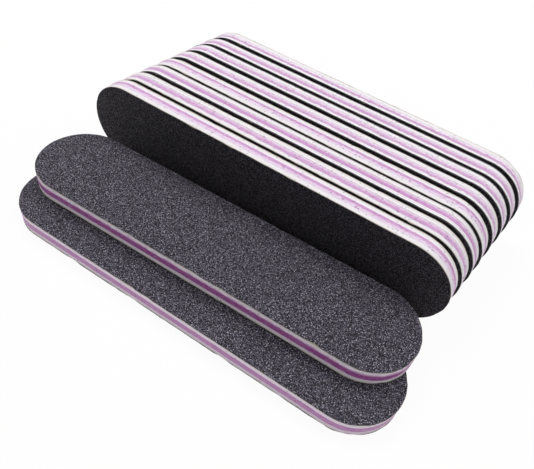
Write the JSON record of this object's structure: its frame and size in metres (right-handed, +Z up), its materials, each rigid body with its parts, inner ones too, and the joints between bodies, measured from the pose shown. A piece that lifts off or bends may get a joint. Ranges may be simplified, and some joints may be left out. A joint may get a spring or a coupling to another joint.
{
  "type": "emery board set",
  "caption": "Set of mini emery boards with round ends, each a foam and plastic laminate with black abrasive on both faces, stood in a row with others lying flat in front.",
  "frame": {"origin": "the middle of the set's footprint, on the surface it stands on", "axes": "+X along the boards of the row, +Y from the flat boards in front towards the back of the row, +Z up"},
  "size_m": [0.0942, 0.0694, 0.02],
  "materials": {
    "abrasive": "matte",
    "foam": "matte",
    "core": "satin",
    "glue": "satin"
  },
  "bodies": {
    "row_1_board": {"row_1_front_sheet": "abrasive", "row_1_front_foam": "foam", "row_1_core": "core", "row_1_back_foam": "foam", "row_1_back_sheet": "abrasive", "row_1_glue_films": "glue"},
    "row_2_board": {"row_2_front_sheet": "abrasive", "row_2_front_foam": "foam", "row_2_core": "core", "row_2_back_foam": "foam", "row_2_back_sheet": "abrasive", "row_2_glue_films": "glue"},
    "row_3_board": {"row_3_front_sheet": "abrasive", "row_3_front_foam": "foam", "row_3_core": "core", "row_3_back_foam": "foam", "row_3_back_sheet": "abrasive", "row_3_glue_films": "glue"},
    "row_4_board": {"row_4_front_sheet": "abrasive", "row_4_front_foam": "foam", "row_4_core": "core", "row_4_back_foam": "foam", "row_4_back_sheet": "abrasive", "row_4_glue_films": "glue"},
    "row_5_board": {"row_5_front_sheet": "abrasive", "row_5_front_foam": "foam", "row_5_core": "core", "row_5_back_foam": "foam", "row_5_back_sheet": "abrasive", "row_5_glue_films": "glue"},
    "row_6_board": {"row_6_front_sheet": "abrasive", "row_6_front_foam": "foam", "row_6_core": "core", "row_6_back_foam": "foam", "row_6_back_sheet": "abrasive", "row_6_glue_films": "glue"},
    "row_7_board": {"row_7_front_sheet": "abrasive", "row_7_front_foam": "foam", "row_7_core": "core", "row_7_back_foam": "foam", "row_7_back_sheet": "abrasive", "row_7_glue_films": "glue"},
    "row_8_board": {"row_8_front_sheet": "abrasive", "row_8_front_foam": "foam", "row_8_core": "core", "row_8_back_foam": "foam", "row_8_back_sheet": "abrasive", "row_8_glue_films": "glue"},
    "lower_board": {"lower_front_sheet": "abrasive", "lower_front_foam": "foam", "lower_core": "core", "lower_back_foam": "foam", "lower_back_sheet": "abrasive", "lower_glue_films": "glue"},
    "upper_board": {"upper_front_sheet": "abrasive", "upper_front_foam": "foam", "upper_core": "core", "upper_back_foam": "foam", "upper_back_sheet": "abrasive", "upper_glue_films": "glue"}
  },
  "joints": [
    {"name": "upper_lift", "type": "slide", "parent": "lower_board", "child": "upper_board", "axis": [0, 0, 1], "range_m": [0, 0.03]},
    {"name": "row_1_lift", "type": "slide", "parent": "lower_board", "child": "row_1_board", "axis": [0, 0, 1], "range_m": [0, 0.03]},
    {"name": "row_2_lift", "type": "slide", "parent": "lower_board", "child": "row_2_board", "axis": [0, 0, 1], "range_m": [0, 0.03]},
    {"name": "row_3_lift", "type": "slide", "parent": "lower_board", "child": "row_3_board", "axis": [0, 0, 1], "range_m": [0, 0.03]},
    {"name": "row_4_lift", "type": "slide", "parent": "lower_board", "child": "row_4_board", "axis": [0, 0, 1], "range_m": [0, 0.03]},
    {"name": "row_5_lift", "type": "slide", "parent": "lower_board", "child": "row_5_board", "axis": [0, 0, 1], "range_m": [0, 0.03]},
    {"name": "row_6_lift", "type": "slide", "parent": "lower_board", "child": "row_6_board", "axis": [0, 0, 1], "range_m": [0, 0.03]},
    {"name": "row_7_lift", "type": "slide", "parent": "lower_board", "child": "row_7_board", "axis": [0, 0, 1], "range_m": [0, 0.03]},
    {"name": "row_8_lift", "type": "slide", "parent": "lower_board", "child": "row_8_board", "axis": [0, 0, 1], "range_m": [0, 0.03]}
  ]
}
